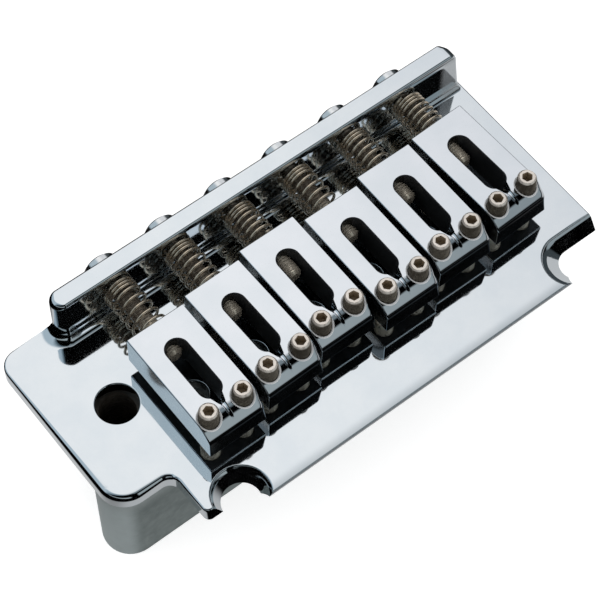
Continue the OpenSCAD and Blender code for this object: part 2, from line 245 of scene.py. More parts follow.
# %% Sockets and trees
class Wire:
    """One socket of a node. Arithmetic on it adds Math nodes."""

    def __init__(self, tree, socket):
        self.tree, self.socket = tree, socket

    def other(self, name):
        """Another output of the same node."""
        return Wire(self.tree, self.socket.node.outputs[name])

    def math(self, operation, *values):
        """A Math node with this socket as its first input."""
        return self.tree.add("ShaderNodeMath", {"operation": operation}, [self, *values])

    def __add__(self, value):
        return self.math("ADD", value)

    def __sub__(self, value):
        return self.math("SUBTRACT", value)

    def __mul__(self, value):
        return self.math("MULTIPLY", value)

    def __truediv__(self, value):
        return self.math("DIVIDE", value)

    def __gt__(self, value):
        return self.math("GREATER_THAN", value)

    def __lt__(self, value):
        return self.math("LESS_THAN", value)

    def __rsub__(self, value):
        return self.tree.add("ShaderNodeMath", {"operation": "SUBTRACT"}, [value, self])

    def __rtruediv__(self, value):
        return self.tree.add("ShaderNodeMath", {"operation": "DIVIDE"}, [value, self])

    __radd__ = __add__
    __rmul__ = __mul__


class Tree:
    """A node tree that grows by one method."""

    def __init__(self, tree):
        self.tree = tree

    def add(self, kind, settings=None, values=(), out=0):
        """A node of a kind, its settings first, then its sockets' values or wires."""
        node = self.tree.nodes.new(kind)
        for key, value in (settings or {}).items():
            if key == "stops":
                ramp = node.color_ramp
                while len(ramp.elements) < len(value):
                    ramp.elements.new(0.5)
                for stop, (place_at, colour) in zip(ramp.elements, value):
                    stop.position, stop.color = place_at, colour
            else:
                setattr(node, key, value)
        for key, value in (values.items() if isinstance(values, dict) else enumerate(values)):
            if isinstance(value, Wire):
                self.tree.links.new(value.socket, node.inputs[key])
            else:
                node.inputs[key].default_value = value
        return Wire(self, node.outputs[out]) if node.outputs else node


print("node tools ready")

# %% [markdown]
# ## Chrome and the other finishes
# Polished chrome is a mirror with a cool tint, so most of its look comes from what it mirrors. A
# little uneven roughness keeps it from looking like glass. The duller finishes add a fine relief.

# %% Finish helper
finishes = {}


def smooth(tree, value, low, high):
    """0 at low, 1 at high and a soft step between."""
    return tree.add("ShaderNodeMapRange", {"interpolation_type": "SMOOTHSTEP"},
                    {"Value": value, "From Min": low, "From Max": high})


def mix_colour(tree, factor, a, b, kind="MIX"):
    """Colour a at factor 0 and b at factor 1."""
    settings = {"data_type": "RGBA", "blend_type": kind}
    return tree.add("ShaderNodeMix", settings, {0: factor, 6: a, 7: b}, out=2)


def finish(name, colours, rough, metallic, grain, grain_size, depth, painted_light_bands=(), roll=None, painted_grey=()):
    """A finish whose colour, roughness and fine relief follow two sizes of noise. The grain is the
    finer one's share. The depth is the relief's, in mm. A band is an axis with the places in mm
    where its colour starts and is full, and it paints light and shade into the colour. A roll turns
    the surface gently down towards a place on Y. A corner given by axis ranges has less of the
    metal's mirror and a greyer colour, a painted grey reflection."""
    material = bpy.data.materials.new(name)
    material.use_nodes = True
    tree = Tree(material.node_tree)
    shader = material.node_tree.nodes["Principled BSDF"]
    shader.inputs["Metallic"].default_value = metallic
    place_at = tree.add("ShaderNodeTexCoord", out="Object")
    cloud = tree.add("ShaderNodeTexNoise", {}, {"Vector": place_at, "Scale": 160.0, "Detail": 3.0})
    fine = tree.add("ShaderNodeTexNoise", {}, {"Vector": place_at, "Scale": grain_size, "Detail": 4.0})
    mixed = smooth(tree, cloud * (1 - grain) + fine * grain, 0.3, 0.7)
    colour = mix_colour(tree, mixed, (*colours[0], 1), (*colours[1], 1))
    split = tree.add("ShaderNodeSeparateXYZ", {}, [place_at])
    # painted light and shade: each band mixes a lighter or darker colour in along an axis
    for axis, low, high, tint in painted_light_bands:
        band = smooth(tree, split.other(axis), low * MM, high * MM)
        colour = mix_colour(tree, band * (0.75 + mixed * 0.25), colour, (*tint, 1))
    links = material.node_tree.links
    # painted reflection: the corner is made greyer and less of a mirror
    if painted_grey:
        corner = 0.45
        for axis, low, high in painted_grey:
            corner = smooth(tree, split.other(axis), low * MM, high * MM) * corner
        colour = mix_colour(tree, corner * 1.3, colour, (0.36, 0.39, 0.41, 1))
        links.new(((1 - corner) * metallic).socket, shader.inputs["Metallic"])
    links.new(colour.socket, shader.inputs["Base Color"])
    links.new((rough[0] + mixed * (rough[1] - rough[0])).socket, shader.inputs["Roughness"])
    relief = mixed * (depth * MM)
    if roll:
        near = ((roll[0] + roll[1]) * MM - split.other("Y")).math("MAXIMUM", 0.0)
        relief = relief - near * near * (math.tan(math.radians(roll[2])) / (2 * roll[1] * MM))
    bump = tree.add("ShaderNodeBump", {}, {"Height": relief, "Strength": 1.0, "Distance": 1.0})
    links.new(bump.socket, shader.inputs["Normal"])
    finishes[name] = material
    return material


print("finish helper ready")

# %% The finishes
# painted reflection: the front of the flange's bass end is painted grey and less mirror-like
flange_corner_painted_grey = [("X", 34.0, 35.6), ("Z", 19.42, 19.7), ("Z", 28.0, 27.5), ("Y", rear - 1.0, rear - 1.6)]
plate_chrome = finish("plate_chrome", [(0.72, 0.77, 0.81), (0.77, 0.81, 0.84)], (0.03, 0.07), 1.0,
                      0.2, 900, 0.0, roll=(front, 3.0, 6), painted_grey=flange_corner_painted_grey)
saddle_chrome = finish("saddle_chrome", [(0.74, 0.78, 0.82), (0.79, 0.82, 0.86)], (0.02, 0.05), 1.0,
                       0.2, 900, 0.0)
saddle_flank = finish("saddle_flank", [(0.74, 0.78, 0.8), (0.8, 0.84, 0.86)], (0.12, 0.18), 0.85,
                      0.2, 900, 0.0)
# painted highlight: the screw holes' lips are near white and half matt, so they read bright
saddle_lip_painted_highlight = finish("saddle_lip_painted_highlight", [(0.86, 0.88, 0.9), (0.93, 0.94, 0.95)], (0.1, 0.2), 0.35,
                    0.2, 900, 0.0)
# painted dark reflection: a near-black chrome for the nose's steep foot and the left flanks of saddles 2 to 6
saddle_shade = finish("saddle_shade", [(0.03, 0.034, 0.037), (0.05, 0.055, 0.06)], (0.14, 0.2), 1.0,
                      0.2, 900, 0.0)
# painted shade: the slot, the rear bore and the underside are painted near black
saddle_inside_painted_shade = finish("saddle_inside_painted_shade", [(0.02, 0.022, 0.025), (0.04, 0.043, 0.046)], (0.4, 0.6), 0.6,
                       0.5, 1200, 0.005)
# painted light: the block is painted lighter at its arm end and near its top under the plate
block_casting = finish("block_casting", [(0.07, 0.096, 0.095), (0.155, 0.185, 0.182)], (0.42, 0.58), 0.2,
                       0.55, 700, 0.02, painted_light_bands=[("X", -42.6, -45.0, (0.25, 0.29, 0.295)),
                                               ("Z", 13.8, 17.2, (0.2, 0.23, 0.23))])
# painted shade: the brass bush inside the arm hole is painted near black
bush_brass = finish("bush_brass", [(0.012, 0.01, 0.008), (0.05, 0.04, 0.03)], (0.35, 0.5), 0.5,
                    0.5, 1500, 0.0)
socket_brown = finish("socket_brown", [(0.30, 0.23, 0.15), (0.46, 0.37, 0.26)], (0.35, 0.5), 0.3,
                      0.5, 1500, 0.0)
# painted light: each height screw's top is painted cream as a highlight, and its part below the saddle is
# painted lighter
height_nickel_painted_light = finish("height_nickel_painted_light", [(0.08, 0.07, 0.055), (0.21, 0.19, 0.155)], (0.2, 0.32), 0.65,
                       0.4, 1800, 0.0, painted_light_bands=[("Z", 29.25, 29.45, (0.90, 0.83, 0.76)),
                                              ("Z", 23.5, 21.8, (0.62, 0.58, 0.48))])
# painted shade: the rods are painted dark from Y 10.5 mm towards the flange, inside the springs
screw_nickel = finish("screw_nickel", [(0.64, 0.57, 0.46), (0.86, 0.78, 0.65)], (0.2, 0.3), 0.7,
                      0.4, 1800, 0.0, painted_light_bands=[("Y", 10.5, 13.5, (0.13, 0.105, 0.08))])
head_nickel = finish("head_nickel", [(0.72, 0.74, 0.76), (0.80, 0.82, 0.83)], (0.1, 0.2), 1.0,
                     0.4, 1800, 0.0)
spring_wire = finish("spring_wire", [(0.60, 0.51, 0.40), (0.78, 0.67, 0.53)], (0.18, 0.3), 0.95,
                     0.5, 2200, 0.0)
print("finishes", sorted(finishes))

# %% [markdown]
# ## The plate
# The plate is one stamping: a straight front edge with an undercut, a round pivot notch on the arm
# side, a knife edge with a hollow on the bass side and a lobe for the arm. Its outline changes a
# little with height, because the notches flare upwards. So each layer draws the outline anew.

# %% Plate outline at a height above its underside
front_undercut = 1.9
plate_thick = plate_top - plate_under
# half the block's thickness and its corner's radius, which the lobe follows
block_half, block_round = 7, 4.35
rear_right, rear_left = 1.6, 2.9  # the radii of the rear corners
inner_corner = (-38.8, -8.8, 1.8)  # centre and radius, where the lobe meets the front
tip_x, tip_r = -36.9, 1.0


def plate_outline(lift):
    """Points with their upper edge's radius and the width of the soft slope above it."""
    t = lift / plate_thick
    edge = front + max(0.0, front_undercut - lift)
    left_x, left_y, left_r = -31.2, -15.6, 3.0 + 1.33 * t
    right_x, right_y, right_r = 32.6 - 1.2 * t, -15.2, 2.7 + 1.8 * t
    tip = -15.2 + 0.2 * t
    left_start = 180 - math.degrees(math.asin((tip - left_y) / left_r))
    left_end = math.degrees(math.asin((edge - left_y) / left_r))
    right_start = 180 - math.degrees(math.asin(max(-1.0, (edge - right_y) / right_r)))
    soft, plump, crisp, square = (0.22, 0), (0.85, 0.9), (0.35, 0), (0, 0)
    rows = [
        (arc(left_x, left_y, left_r, left_start, left_end, 24), crisp),
        (arc(right_x, right_y, right_r, right_start, 90, 16), crisp),
        ([(plate_high[0], right_y + right_r)], crisp),
        (arc(plate_high[0] - rear_right, rear - rear_right, rear_right, 0, 90, 6), crisp),
        ([(-39.5, rear)], square),
        (arc(plate_low[0] + rear_left, rear - rear_left, rear_left, 90, 180, 8), crisp),
        (arc(plate_low[0] + block_round, -block_half + block_round, block_round, 180, 270, 14), plump),
        (arc(*inner_corner, 90, 42, 5), (0.7, 0.7)),
        (arc(*inner_corner, 36, 0, 4), (0.5, 0.15)),
        (arc(tip_x + tip_r, tip + tip_r, tip_r, 180, 262, 6), crisp),
    ]
    points = [p for row, _ in rows for p in row]
    rounds = [r for row, r in rows for _ in row]
    first, second = len(rows[0][0]) - 1, len(rows[0][0])
    rounds[first] = rounds[second] = soft
    return points, np.array(rounds)


print("points at the foot and on top", [len(plate_outline(lift)[0]) for lift in (0.0, plate_thick)])

# %% Build the plate's body
layers = []
points, edges = plate_outline(plate_thick)
rounds, slopes = edges.T
sink = slopes * math.tan(math.radians(4.5))
for lift in (0.0, 0.5, 0.95):
    layers.append(level(plate_outline(lift)[0], plate_under + lift))
for lift in (1.3, front_undercut, 2.1):
    outline = plate_outline(lift)[0]
    layers.append([(x, y, min(plate_under + lift, plate_top - r))
                   for (x, y), r in zip(outline, rounds + sink)])
for inward, down in rounded_rim(6):
    drawn = inset(points, rounds * inward)
    layers.append([(x, y, plate_top - r) for (x, y), r in zip(drawn, rounds * down + sink)])
layers.append(level(inset(points, rounds + slopes + 0.05), plate_top))
base_plate = stack("base_plate_chromed", layers)
print("plate points", len(points))

# %% [markdown]
# The flange stands on the plate's rear edge. It is a bar with a rounded top and a small flare at
# its foot where the bend of the metal shows. Its arm end is round. Its bass end is nearly square and
# leans out to the plate's edge. The bar is joined to the plate by a boolean.

# %% Build the flange and join it
foot = 1.6
arm_x, bass_x = -35.5, 37.6  # the middle of the round arm end, and the bass end's face
front_r, bass_r, arm_r = 0.6, 1.6, flange_gauge / 2
bass_lean, bass_round = 0.9, 1.2
bar = np.array(arc(bass_x - front_r, flange_front + front_r, front_r, -90, 0, 6)
               + arc(bass_x - bass_r, rear - bass_r, bass_r, 0, 90, 9)
               + arc(arm_x, rear - arm_r, arm_r, 90, 270, 16))
bar_rounds = 0.5 + 0.45 * np.clip((-bar[:, 0] - 35.6) / 1.2, 0, 1)
bass_end = np.clip((bar[:, 0] - 35.7) / 1.5, 0, 1)


def flange_layer(height, flare):
    """The bar's outline at a height, grown by a flare at its front and, more so, at its arm end."""
    grown = inset(bar, -flare)
    grown[:, 0] -= 0.4 * flare
    depth = np.clip((rear - bass_r - bar[:, 1]) / (rear - bass_r - flange_front), 0, 1)
    bass = bar[:, 0] > 0
    grown[bass] = np.stack([bar[:, 0], bar[:, 1] - flare * depth * (1 - 0.3 * bass_end)], 1)[bass]
    grown[:, 0] += bass_end * bass_lean * (flange_top - height) / (flange_top - plate_top)
    return [(x, min(y, rear), height) for x, y in grown]


# the lowest layer stands inside the plate, so that the two solids overlap
layers = [flange_layer(plate_top - 0.6, foot)]
for k in range(7):
    a = math.radians(90 * k / 6)
    layers.append(flange_layer(plate_top + foot * (1 - math.cos(a)), foot * (1 - math.sin(a))))
rim_falls = bar_rounds + bass_round * bass_end
for inward, down in [(0, 1)] + rounded_rim(6):
    drawn = inset(bar, bar_rounds * inward)
    drawn[:, 0] -= bass_round * bass_end * inward
    layers.append([(x, y, flange_top - fall * down) for (x, y), fall in zip(drawn, rim_falls)])
flange = stack("flange", layers)
carve(base_plate, [flange], "UNION")
print("flange joined")

# %% [markdown]
# Holes are cut with turned solids. A string hole's cutter widens at its upper end, which leaves the
# rounded lip of a polished hole. The holes of the three block screws are countersunk.

# %% Cut the holes
arm_hole = (-36.7, 6.7)
string_row, block_screw_row = 1.2, 4.8  # on Y
block_screw_places = (-2 * string_pitch, 0.0, 2 * string_pitch)


def hole(radius, x, y, z0, z1, lip, over=0.6):
    """Cutter for a round hole whose upper lip is rounded."""
    profile = [(radius, z0 - over), (radius, z1 - lip)]
    profile += [(radius + lip * (1 - math.cos(math.radians(a))), z1 - lip + lip * math.sin(math.radians(a)))
                for a in (30, 60, 90)]
    profile.append((radius + lip, z1 + over))
    return turned("cutter", profile, 64, (x, y, 0))


countersink = [(1.52, plate_under - 1), (1.52, plate_top - 1.4), (2.82, plate_top), (2.82, plate_top + 1)]
shank_bore = [(1.65, flange_front - 2.2), (1.65, rear + 1)]
cutters = [hole(3.2, *arm_hole, plate_under, plate_top, 0.25)]
cutters += [hole(2.05, x, string_row, plate_under, plate_top, 0.3) for x in strings]
cutters += [turned("cutter", countersink, 32, (x, block_screw_row, 0)) for x in block_screw_places]
cutters += [turned("cutter", shank_bore, 32, (x, 0, screw_axis), "y") for x in strings]
carve(base_plate, cutters)
polish(base_plate)
base_plate.data.materials.append(plate_chrome)
place(base_plate, "bridge_base", ["base_plate"])
print("plate faces", len(base_plate.data.polygons))

# %% [markdown]
# ## The block
# The block is a casting with a satin coat. A rounded nose and a boss round the arm socket stand at
# its arm end. Wide bores for the strings' ball ends and holes for the return springs' hooks open in
# its foot.

# %% Build the block
boss = arm_hole
nose = (plate_low[0] + block_round, -block_half + block_round)
boss_r = 5.2
foot_round = 0.3
apart_x, apart_y = boss[0] - nose[0], boss[1] - nose[1]
reach = math.hypot(apart_x, apart_y)
lean = math.degrees(math.atan2(apart_y, apart_x) + math.acos((block_round - boss_r) / reach))


def block_outline():
    """The block from above, anticlockwise. A line joins the boss and the nose as their tangent."""
    right = block_high[0]
    points = [(-30.0, -block_half)]
    points += arc(right - block_round, -block_half + block_round, block_round, 270, 360, 12)
    points += arc(right - block_round, block_half - block_round, block_round, 0, 90, 12)
    points += [(boss[0] + 6.5, block_half)]
    points += arc(*boss, boss_r, 0, lean, 24)
    points += arc(*nose, block_round, lean, 270, 14)
    return points


outline = block_outline()
layers = []
for degrees in (90, 60, 30, 0):
    a = math.radians(degrees)
    layers.append(level(inset(outline, foot_round * (1 - math.cos(a))), foot_round * (1 - math.sin(a))))
layers.append(level(outline, plate_under - 0.02))
block = stack("block_cast", layers)
ball_bore = [(2.6, -1), (2.6, 12.6), (1.7, 12.6), (1.7, plate_under + 1)]
hook_hole = [(1.5, -1), (1.5, 8)]
bush_seat = [(3.92, plate_under - 12), (3.92, plate_under + 1)]
screw_seat = [(1.52, plate_top - 12.02), (1.52, plate_top + 1)]
cutters = [turned("cutter", ball_bore, 48, (x, string_row, 0)) for x in strings]
cutters += [turned("cutter", hook_hole, 32, (k * string_pitch, -4, 0)) for k in range(-2, 3)]
cutters += [turned("cutter", bush_seat, 64, (*arm_hole, 0))]
cutters += [turned("cutter", screw_seat, 32, (x, block_screw_row, 0)) for x in block_screw_places]
carve(block, cutters)
polish(block, 35)
block.data.materials.append(block_casting)
place(block, "bridge_base", ["sustain_block"])
print("block faces", len(block.data.polygons))

# %% [markdown]
# ## The saddles
# Each saddle is a bar whose nose is rounded over. Its side view is stacked across the string, and
# the outer layers are drawn in to round the long edges. A through slot, a funnel and a fine groove
# lead the string to the nose.

# %% Saddle body
saddle_long, saddle_thick, saddle_half = 19.8, 5.8, 4.88
saddle_under = plate_top + 2.4
# the long edges' radii: left, right, and right on the last saddle
edge_left, edge_right, edge_outer = 0.2, 0.06, 0.2
# the nose is a wide round that ends in a tight one
nose_turn, nose_wide, nose_tight = 52, 4.2, 1.46
nose_upper = (3.62, saddle_thick - nose_wide, nose_wide)
bend_y = nose_upper[0] - (nose_wide - nose_tight) * math.sin(math.radians(nose_turn))
bend_z = nose_upper[1] + (nose_wide - nose_tight) * math.cos(math.radians(nose_turn))
nose_lower = (bend_y, bend_z, nose_tight)


def nose_point(angle):
    """The nose's surface and its outward way, at an angle turned down from the top."""
    y, z, radius = nose_upper if angle <= nose_turn else nose_lower
    a = math.radians(angle)
    out = np.array([0, -math.sin(a), math.cos(a)])
    return np.array([0, y, z]) + radius * out, out


def saddle_side():
    """Side view: y back from the nose and z up from the underside, anticlockwise."""
    c = 0.3
    points = arc(c, c, c, 180, 270, 4) + arc(saddle_long - c, c, c, 270, 360, 4)
    points += arc(saddle_long - c, saddle_thick - c, c, 0, 90, 4)
    points += arc(*nose_upper, 90, 90 + nose_turn, 18) + arc(*nose_lower, 90 + nose_turn, 180, 8)[1:]
    return points


def saddle_body(name, x, y):
    """The bar before it is cut. Its right half is a little wider than its left one."""
    side = np.array(saddle_side())
    # the nose's corner on the bass side is rounder than the other edges
    at_nose = np.clip((2.6 - side[:, 0]) / 1.5, 0, 1) * np.clip((side[:, 1] - 0.3) / 1.2, 0, 1)
    right = edge_outer if x == strings[-1] else edge_right
    rim = [(0, 1)] + rounded_rim()
    layers = []
    for hand, (inward, down) in [(-1, share) for share in reversed(rim)] + [(1, share) for share in rim]:
        if hand < 0:
            half, edge = saddle_half, np.full(len(side), edge_left)
        else:
            half, edge = saddle_half + 0.1, right + 0.8 * at_nose
        layers.append([(x + hand * (half - e * down), y + p, saddle_under + q)
                       for (p, q), e in zip(inset(side, edge * inward), edge)])
    return stack(name, layers)


print("points in a saddle's side view", len(saddle_side()))

# %% [markdown]
# A string comes up through the slot, runs over a funnel into the groove and leaves at the nose. The
# funnel and groove are one stack of sections along that way, so they follow the nose's curve.

# %% Cutters for a saddle
screw_aside, screw_back = 2.94, 2.8  # a height screw's place, beside the string and behind the nose


def string_cutter(x, y):
    """The funnel and groove: a U-shaped section swept from the slot over the nose."""
    stations = [(8.6, 0.0, 3.4, 4.0), (7.0, 0.0, 3.4, 3.9), (3.8, 0.0, 1.25, 0.95)]
    stations += [(None, a, 1.0, 0.3 - 0.007 * a) for a in range(2, 59, 8)]
    layers = []
    for back, angle, wide, deep in stations:
        foot_at, out = nose_point(angle)
        if back is not None:
            foot_at = foot_at + np.array([0, back - nose_upper[0], 0])
        half = wide / 2
        section = [(-half, 1.0), (-half, half - deep)]
        section += [(half * math.cos(math.radians(b)), half - deep + half * math.sin(math.radians(b)))
                    for b in range(195, 346, 15)]
        section += [(half, half - deep), (half, 1.0)]
        layers.append([tuple(np.array([x, y, saddle_under]) + np.array([s, 0, 0]) + foot_at + n * out)
                       for s, n in section])
    return stack("cutter", layers)


def slot_cutter(x, y):
    """The through slot with round ends and rounded lips."""
    half, lip = 1.7, 0.2
    outline = arc(x, y + 14.2, half, 0, 180, 16) + arc(x, y + 6.6, half, 180, 360, 16)
    top = saddle_under + saddle_thick
    layers = [level(outline, saddle_under - 0.6), level(outline, top - lip)]
    for a in (30, 60, 90):
        a = math.radians(a)
        layers.append(level(inset(outline, -lip * (1 - math.cos(a))), top - lip + lip * math.sin(a)))
    layers.append(level(inset(outline, -lip), top + 0.6))
    return stack("cutter", layers)


def screw_cutter(x, y):
    """A screw hole whose rounded lip follows the nose down. Its lip gets a finish painted bright as a
    highlight.
    """
    bore, lip = 1.53, 0.36

    def circle(radius):
        return arc(x, y + screw_back, radius, 0, 352.5, 47)

    def ring(radius, lift):
        points = circle(radius)
        falls = [max(0.0, y + nose_upper[0] - q) for _, q in points]
        tops = [nose_upper[1] + math.sqrt(nose_wide ** 2 - fall ** 2) for fall in falls]
        return [(p, q, saddle_under + h + lift) for (p, q), h in zip(points, tops)]

    layers = [level(circle(bore), saddle_under - 1), ring(bore, -lip)]
    layers += [ring(bore + lip * (1 - math.cos(math.radians(a))), lip * (math.sin(math.radians(a)) - 1))
               for a in (22, 45, 67, 90)]
    return stack("cutter", layers + [ring(bore + lip, 0.6)])


def saddle_cutters(x, y):
    """The slot, the string's way, the two height screws' holes and the intonation screw's bore."""
    cutters = [slot_cutter(x, y), string_cutter(x, y)]
    for side in (-1, 1):
        cutters.append(screw_cutter(x + side * screw_aside, y))
    bore = [(1.5, y + 14.5), (1.5, y + saddle_long - 0.25), (1.75, y + saddle_long), (1.75, y + 21)]
    cutters.append(turned("cutter", bore, 32, (x, 0, screw_axis), "y"))
    return cutters


print("saddle cutters ready")

# %% [markdown]
# A cutter brings its own finish into the cut: the slot and the rear bore are painted near black
# inside as shade, and a screw hole's lip is painted bright as a highlight. The underside is painted
# dark as shade, and the nose's steep foot and the left flanks of saddles 2 to 6 get a near-black
# chrome, a painted dark reflection. The photo's saddles stand a little askew. The two that stand
# out most are turned here, with their height screws.

# %% Build the six saddles
askew = [0, 0.9, 0, 0, 0, 1.9]  # in degrees, with the nose towards the bass side
# painted light and shade: the slot and rear bore are lined near black, the screw holes' lips bright
cutter_finishes_and_painted_light = (saddle_inside_painted_shade, saddle_chrome, saddle_lip_painted_highlight, saddle_lip_painted_highlight, saddle_inside_painted_shade)


def skew(i):
    """The small turn of a saddle about the middle of its rear face, in metres."""
    hinge = Vector((strings[i], noses[i] + saddle_long, 0)) * MM
    turn = Matrix.Rotation(math.radians(askew[i]), 4, "Z")
    return Matrix.Translation(hinge) @ turn @ Matrix.Translation(-hinge)


for i, (x, y) in enumerate(zip(strings, noses)):
    saddle = saddle_body(f"saddle_{i + 1}_chromed", x, y)
    saddle.data.materials.append(saddle_chrome)
    cutters = saddle_cutters(x, y)
    for cutter, lining in zip(cutters, cutter_finishes_and_painted_light):
        cutter.data.materials.append(lining)
    carve(saddle, cutters)
    slots = saddle.data.materials
    slots.append(saddle_flank)
    slots.append(saddle_shade)
    inside, flank, shade = (slots.find(m.name) for m in (saddle_inside_painted_shade, saddle_flank, saddle_shade))
    # painted shade: the underside is dark; the nose's steep foot and the left flanks of saddles 2 to 6 get a
    # near-black chrome, a painted dark reflection
    for face in saddle.data.polygons:
        if face.normal.z < -0.9:
            face.material_index = inside
        elif face.normal.y < -0.84:
            face.material_index = shade
        elif abs(face.normal.x) > 0.99 and abs(face.center.x / MM - x) > saddle_half - 0.01:
            face.material_index = shade if i and face.normal.x < 0 else flank
    saddle.data.transform(skew(i))
    polish(saddle)
    place(saddle, f"saddle_{i + 1}", [f"saddle_{i + 1}"])
print("saddle faces", len(saddle.data.polygons))

# %% [markdown]
# ## Threaded screws
# A thread is a rule: the radius falls and rises once a pitch, and the angle moves that wave along
# the axis. A grid is rolled into a tube by that rule in Geometry Nodes. Its last rows turn in to
# make the chamfer, the ring on top and the hex socket, so no boolean is needed.

# %% Tree helpers
def geometry_tree(name, inputs):
    """A geometry tree with named number inputs. Gives the tree and a wire for each input."""
    group = bpy.data.node_groups.new(name, "GeometryNodeTree")
    for label, value in inputs.items():
        kind = "NodeSocketInt" if isinstance(value, int) else "NodeSocketFloat"
        socket = group.interface.new_socket(name=label, in_out="INPUT", socket_type=kind)
        socket.default_value = value
    group.interface.new_socket(name="Finish", in_out="INPUT", socket_type="NodeSocketMaterial")
    group.interface.new_socket(name="Geometry", in_out="OUTPUT", socket_type="NodeSocketGeometry")
    tree = Tree(group)
    given = group.nodes.new("NodeGroupInput")
    return tree, {s.name: Wire(tree, s) for s in given.outputs if s.name}


def close_tree(tree, shape, finish_wire):
    """Ends a tree in Realize Instances and Set Material."""
    real = tree.add("GeometryNodeRealizeInstances", {}, [shape])
    painted = tree.add("GeometryNodeSetMaterial", {}, {"Geometry": real, "Material": finish_wire})
    tree.add("NodeGroupOutput", {}, [painted])


def evaluate(tree, name, inputs, material, matrix):
    """Runs a tree with these inputs and gives a plain mesh object."""
    piece = bpy.data.objects.new(name, bpy.data.meshes.new(name))
    bpy.context.scene.collection.objects.link(piece)
    run = piece.modifiers.new("tree", "NODES")
    run.node_group = tree.tree
    names = {s.name: s.identifier for s in tree.tree.interface.items_tree if s.in_out == "INPUT"}
    for label, value in inputs.items():
        run[names[label]] = value
    run[names["Finish"]] = material
    bake(piece)
    piece.data.transform(matrix)
    return piece


print("tree helpers ready")

# %% The threaded rod
rod, g = geometry_tree("threaded_rod", {"Length": 10.0, "Radius": 1.5, "Depth": 0.18, "Pitch": 0.5,
                                        "Top ring": 1.15, "Tip": 1.1, "Flats": 1.5, "Socket depth": 1.8,
                                        "Rows": 160})
grid = rod.add("GeometryNodeMeshGrid", {}, {"Size X": 1.0, "Size Y": 1.0, "Vertices X": 49,
                                            "Vertices Y": g["Rows"] + 4})
at = rod.add("ShaderNodeSeparateXYZ", {}, [grid.other("UV Map")])
angle = at * (2 * math.pi)
row = (at.other("Y") * (g["Rows"] + 3)).math("ROUND")
share = ((row - 1) / (g["Rows"] - 1)).math("MAXIMUM", 0.0).math("MINIMUM", 1.0)
height = share * g["Length"]
wave = (height / g["Pitch"] - at).math("FRACT") * 2 - 1
threaded = g["Radius"] - g["Depth"] * (1 - wave.math("ABSOLUTE"))
shank = threaded.math("MINIMUM", g["Tip"] + height).math("MINIMUM", g["Top ring"] + g["Length"] - height)
corner = (angle + math.pi / 6).math("MODULO", math.pi / 3) - math.pi / 6
hexagon = g["Flats"] / 2 / corner.math("COSINE")
radius = (shank * (row > 0.5) * (row < g["Rows"] + 0.5)
          + hexagon * (row > g["Rows"] + 0.5) * (row < g["Rows"] + 2.5))
height = height - g["Socket depth"] * (row > g["Rows"] + 1.5)
spot = rod.add("ShaderNodeCombineXYZ", {}, [radius * angle.math("COSINE"), radius * angle.math("SINE"),
                                            height])
rolled = rod.add("GeometryNodeSetPosition", {}, {"Geometry": grid, "Position": spot})
closed = rod.add("GeometryNodeMergeByDistance", {}, {"Geometry": rolled, "Distance": 0.0005})
close_tree(rod, closed, g["Finish"])
print("rod nodes", len(rod.tree.nodes))

# %% [markdown]
# Each saddle stands on two grub screws with a hex socket. All twelve come from the rod's tree, and
# each is turned by its own angle, so the threads and sockets don't look alike.

# %% Height screws
scale_mm = Matrix.Diagonal((MM, MM, MM, 1))
top_z = saddle_under + saddle_thick + 2.0
tip_z = plate_top + 0.12
for i, (x, y) in enumerate(zip(strings, noses)):
    for side, name in ((-1, "left"), (1, "right")):
        spin = Matrix.Rotation(math.radians(37 * i + 71 * side), 4, "Z")
        at = skew(i) @ scale_mm @ Matrix.Translation((x + side * screw_aside, y + screw_back, tip_z)) @ spin
        screw = evaluate(rod, f"height_screw_{i + 1}_{name}_threaded",
                         {"Length": top_z - tip_z, "Rows": 160}, height_nickel_painted_light, at)
        screw.data.materials.append(socket_brown)
        inside = len(screw.data.materials) - 1
        # the socket's walls and floor are brown
        for face in screw.data.polygons:
            off = (face.center - at.translation) / MM
            if math.hypot(off.x, off.y) < 0.84 and off.z > 5:
                face.material_index = inside
        polish(screw, 30)
        node = f"height_screw_{i + 1}_{name}"
        place(screw, node, [node])
print("height screw faces", len(screw.data.polygons))

# %% [markdown]
# The intonation screw is a longer rod without a socket. Its pan head is turned from a profile, and a
# cross is cut into it. Head and shank then become one mesh, since the screw is one piece of metal.

# %% Intonation screws
shank_long, head_r, head_h = 18.0, 2.8, 2.0
head_at = rear + 0.12
cross_arm = [(-1.7, -0.35), (1.7, -0.35), (1.7, 0.35), (-1.7, 0.35)]


def pan_head(x):
    """A domed head behind the flange, with a cross recess."""
    dome = (head_r ** 2 + (head_h / 2) ** 2) / head_h
    rim = math.asin(head_r / dome)
    wall_end = head_at + head_h / 2
    profile = [(1.2, head_at - 0.4), (head_r - 0.15, head_at), (head_r, head_at + 0.15), (head_r, wall_end)]
    for k in range(1, 8):
        a = rim * (1 - k / 7.5)
        profile.append((dome * math.sin(a), wall_end + dome * (math.cos(a) - math.cos(rim))))
    head = turned("head", profile, 48, (x, 0, screw_axis), "y")
    cross = []
    for turn in (45, 135):
        t = math.radians(turn)
        layers = []
        for depth, grow in ((head_h - 1.0, 0.8), (head_h + 0.5, 1.0)):
            layers.append([(x + grow * (p * math.cos(t) - q * math.sin(t)), head_at + depth,
                            screw_axis - grow * (p * math.sin(t) + q * math.cos(t))) for p, q in cross_arm])
        cross.append(stack("cutter", layers))
    return carve(head, cross)


